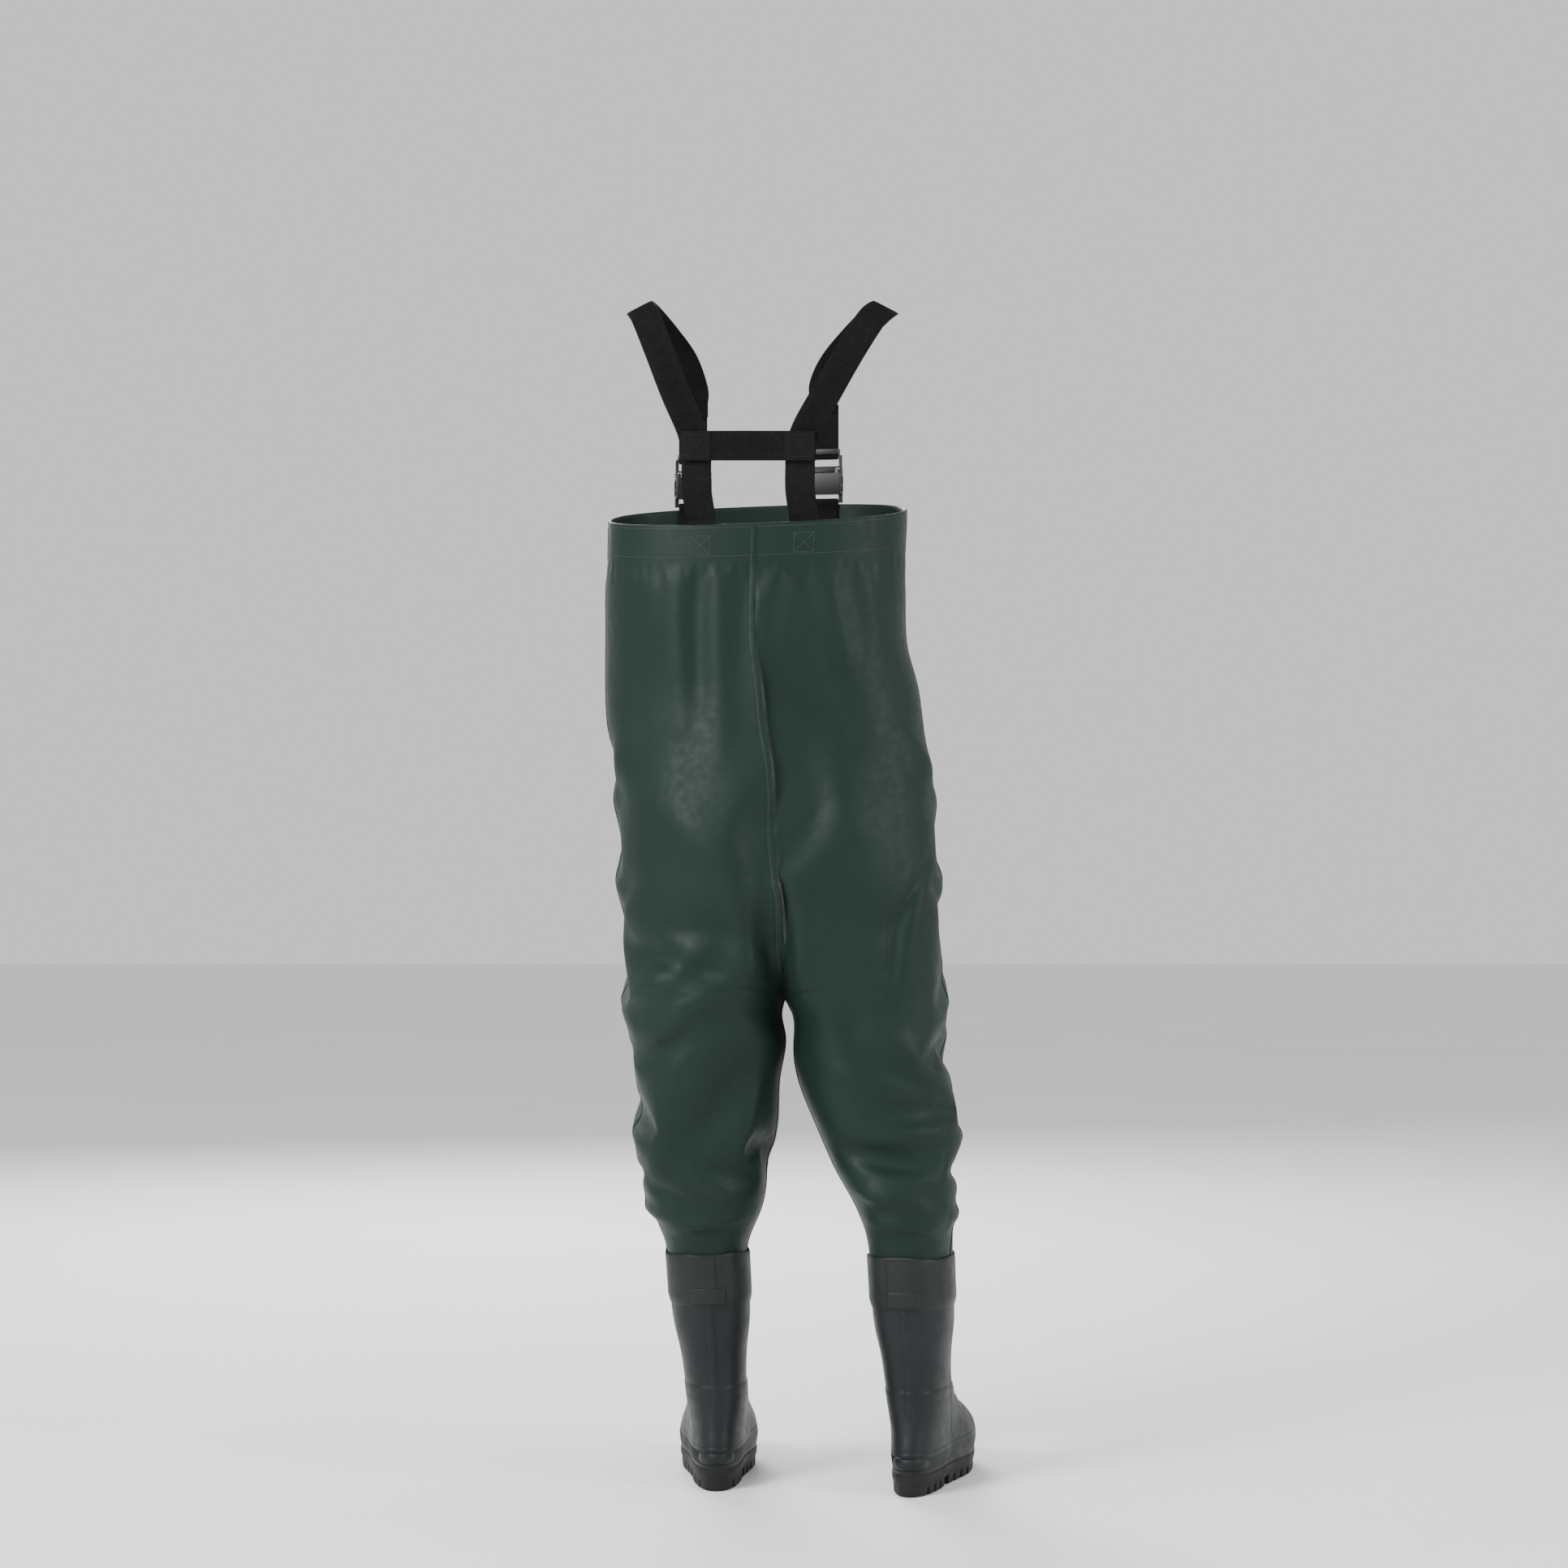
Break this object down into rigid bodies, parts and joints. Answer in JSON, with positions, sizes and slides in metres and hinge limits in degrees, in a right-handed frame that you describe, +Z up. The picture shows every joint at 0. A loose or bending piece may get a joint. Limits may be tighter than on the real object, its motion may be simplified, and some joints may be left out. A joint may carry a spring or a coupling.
{
  "type": "chest waders",
  "caption": "Chest waders: coated-fabric bib and legs welded to moulded boots, with an elastic H-back harness, side-release buckles and a flap pocket.",
  "frame": {"origin": "on the ground, under the middle of the object's box", "axes": "+Z up from the soles to the shoulder straps, the wearer faces -Y, +X is the wearer's left"},
  "size_m": [0.4884, 0.4136, 1.5537],
  "materials": {
    "coated_fabric": "semi-matte coated fabric",
    "seam_tape": "matte",
    "boot_upper": "satin",
    "cuff": "satin",
    "lining": "knitted",
    "insole": "felt",
    "outsole": "matte",
    "buckle_plastic": "fine grain",
    "elastic": "ribbed elastic",
    "webbing": "woven",
    "hook_and_loop": "hook and loop"
  },
  "bodies": {
    "garment": {"back_left_panel": "coated_fabric", "back_right_panel": "coated_fabric", "back_seam_tape": "seam_tape", "chest_pocket": "coated_fabric", "cross_strap": "elastic", "front_left_panel": "coated_fabric", "front_right_panel": "coated_fabric", "front_seam_tape": "seam_tape", "hem_facing": "coated_fabric", "left_back_webbing": "webbing", "left_bib_tab": "webbing", "left_boot_lining": "lining", "left_boot_upper": "boot_upper", "left_buckle_female": "buckle_plastic", "left_cuff_band": "cuff", "left_cuff_patch": "cuff", "left_inseam_tape": "seam_tape", "left_insole": "insole", "left_outseam_tape": "seam_tape", "left_outsole": "outsole", "left_shoulder_strap": "elastic", "pocket_loop_strip": "hook_and_loop", "right_back_webbing": "webbing", "right_bib_tab": "webbing", "right_boot_lining": "lining", "right_boot_upper": "boot_upper", "right_buckle_female": "buckle_plastic", "right_cuff_band": "cuff", "right_cuff_patch": "cuff", "right_inseam_tape": "seam_tape", "right_insole": "insole", "right_outseam_tape": "seam_tape", "right_outsole": "outsole", "right_shoulder_strap": "elastic"},
    "left_strap_end": {"left_front_webbing": "webbing", "left_buckle_male": "buckle_plastic"},
    "left_keeper": {"left_strap_keeper": "buckle_plastic"},
    "left_left_prong": {"left_buckle_left_prong": "buckle_plastic"},
    "left_right_prong": {"left_buckle_right_prong": "buckle_plastic"},
    "right_strap_end": {"right_front_webbing": "webbing", "right_buckle_male": "buckle_plastic"},
    "right_keeper": {"right_strap_keeper": "buckle_plastic"},
    "right_left_prong": {"right_buckle_left_prong": "buckle_plastic"},
    "right_right_prong": {"right_buckle_right_prong": "buckle_plastic"},
    "pocket_flap": {"pocket_flap": "coated_fabric", "flap_hook_strip": "hook_and_loop"}
  },
  "joints": [
    {"name": "left_buckle_release", "type": "slide", "parent": "garment", "child": "left_strap_end", "axis": [0, 0, 1], "range_m": [0, 0.024]},
    {"name": "left_keeper_slide", "type": "slide", "parent": "left_strap_end", "child": "left_keeper", "axis": [0, 0, 1], "range_m": [0, 0.022]},
    {"name": "left_left_prong_press", "type": "hinge", "parent": "left_strap_end", "child": "left_left_prong", "pos_m": [0.15347, -0.07959, 1.33649], "axis": [-0.2555, 0.9668, 0], "range_deg": [0, 16.5]},
    {"name": "left_right_prong_press", "type": "hinge", "parent": "left_strap_end", "child": "left_right_prong", "pos_m": [0.11577, -0.08955, 1.33649], "axis": [0.2555, -0.9668, 0], "range_deg": [0, 16.5]},
    {"name": "right_buckle_release", "type": "slide", "parent": "garment", "child": "right_strap_end", "axis": [0, 0, 1], "range_m": [0, 0.024]},
    {"name": "right_keeper_slide", "type": "slide", "parent": "right_strap_end", "child": "right_keeper", "axis": [0, 0, 1], "range_m": [0, 0.022]},
    {"name": "right_left_prong_press", "type": "hinge", "parent": "right_strap_end", "child": "right_left_prong", "pos_m": [-0.02366, -0.08938, 1.34318], "axis": [0.26, 0.9656, 0], "range_deg": [0, 16.5]},
    {"name": "right_right_prong_press", "type": "hinge", "parent": "right_strap_end", "child": "right_right_prong", "pos_m": [-0.06132, -0.07924, 1.34318], "axis": [-0.26, -0.9656, 0], "range_deg": [0, 16.5]},
    {"name": "pocket_flap_hinge", "type": "hinge", "parent": "garment", "child": "pocket_flap", "pos_m": [0.04905, -0.11902, 1.18371], "axis": [-1, 0, 0], "range_deg": [0, 150]}
  ],
  "couplings": [
    {"joint": "left_left_prong_press", "follows": "left_buckle_release", "rad_per_m": 11.9},
    {"joint": "left_right_prong_press", "follows": "left_buckle_release", "rad_per_m": 11.9},
    {"joint": "right_left_prong_press", "follows": "right_buckle_release", "rad_per_m": 11.9},
    {"joint": "right_right_prong_press", "follows": "right_buckle_release", "rad_per_m": 11.9}
  ]
}
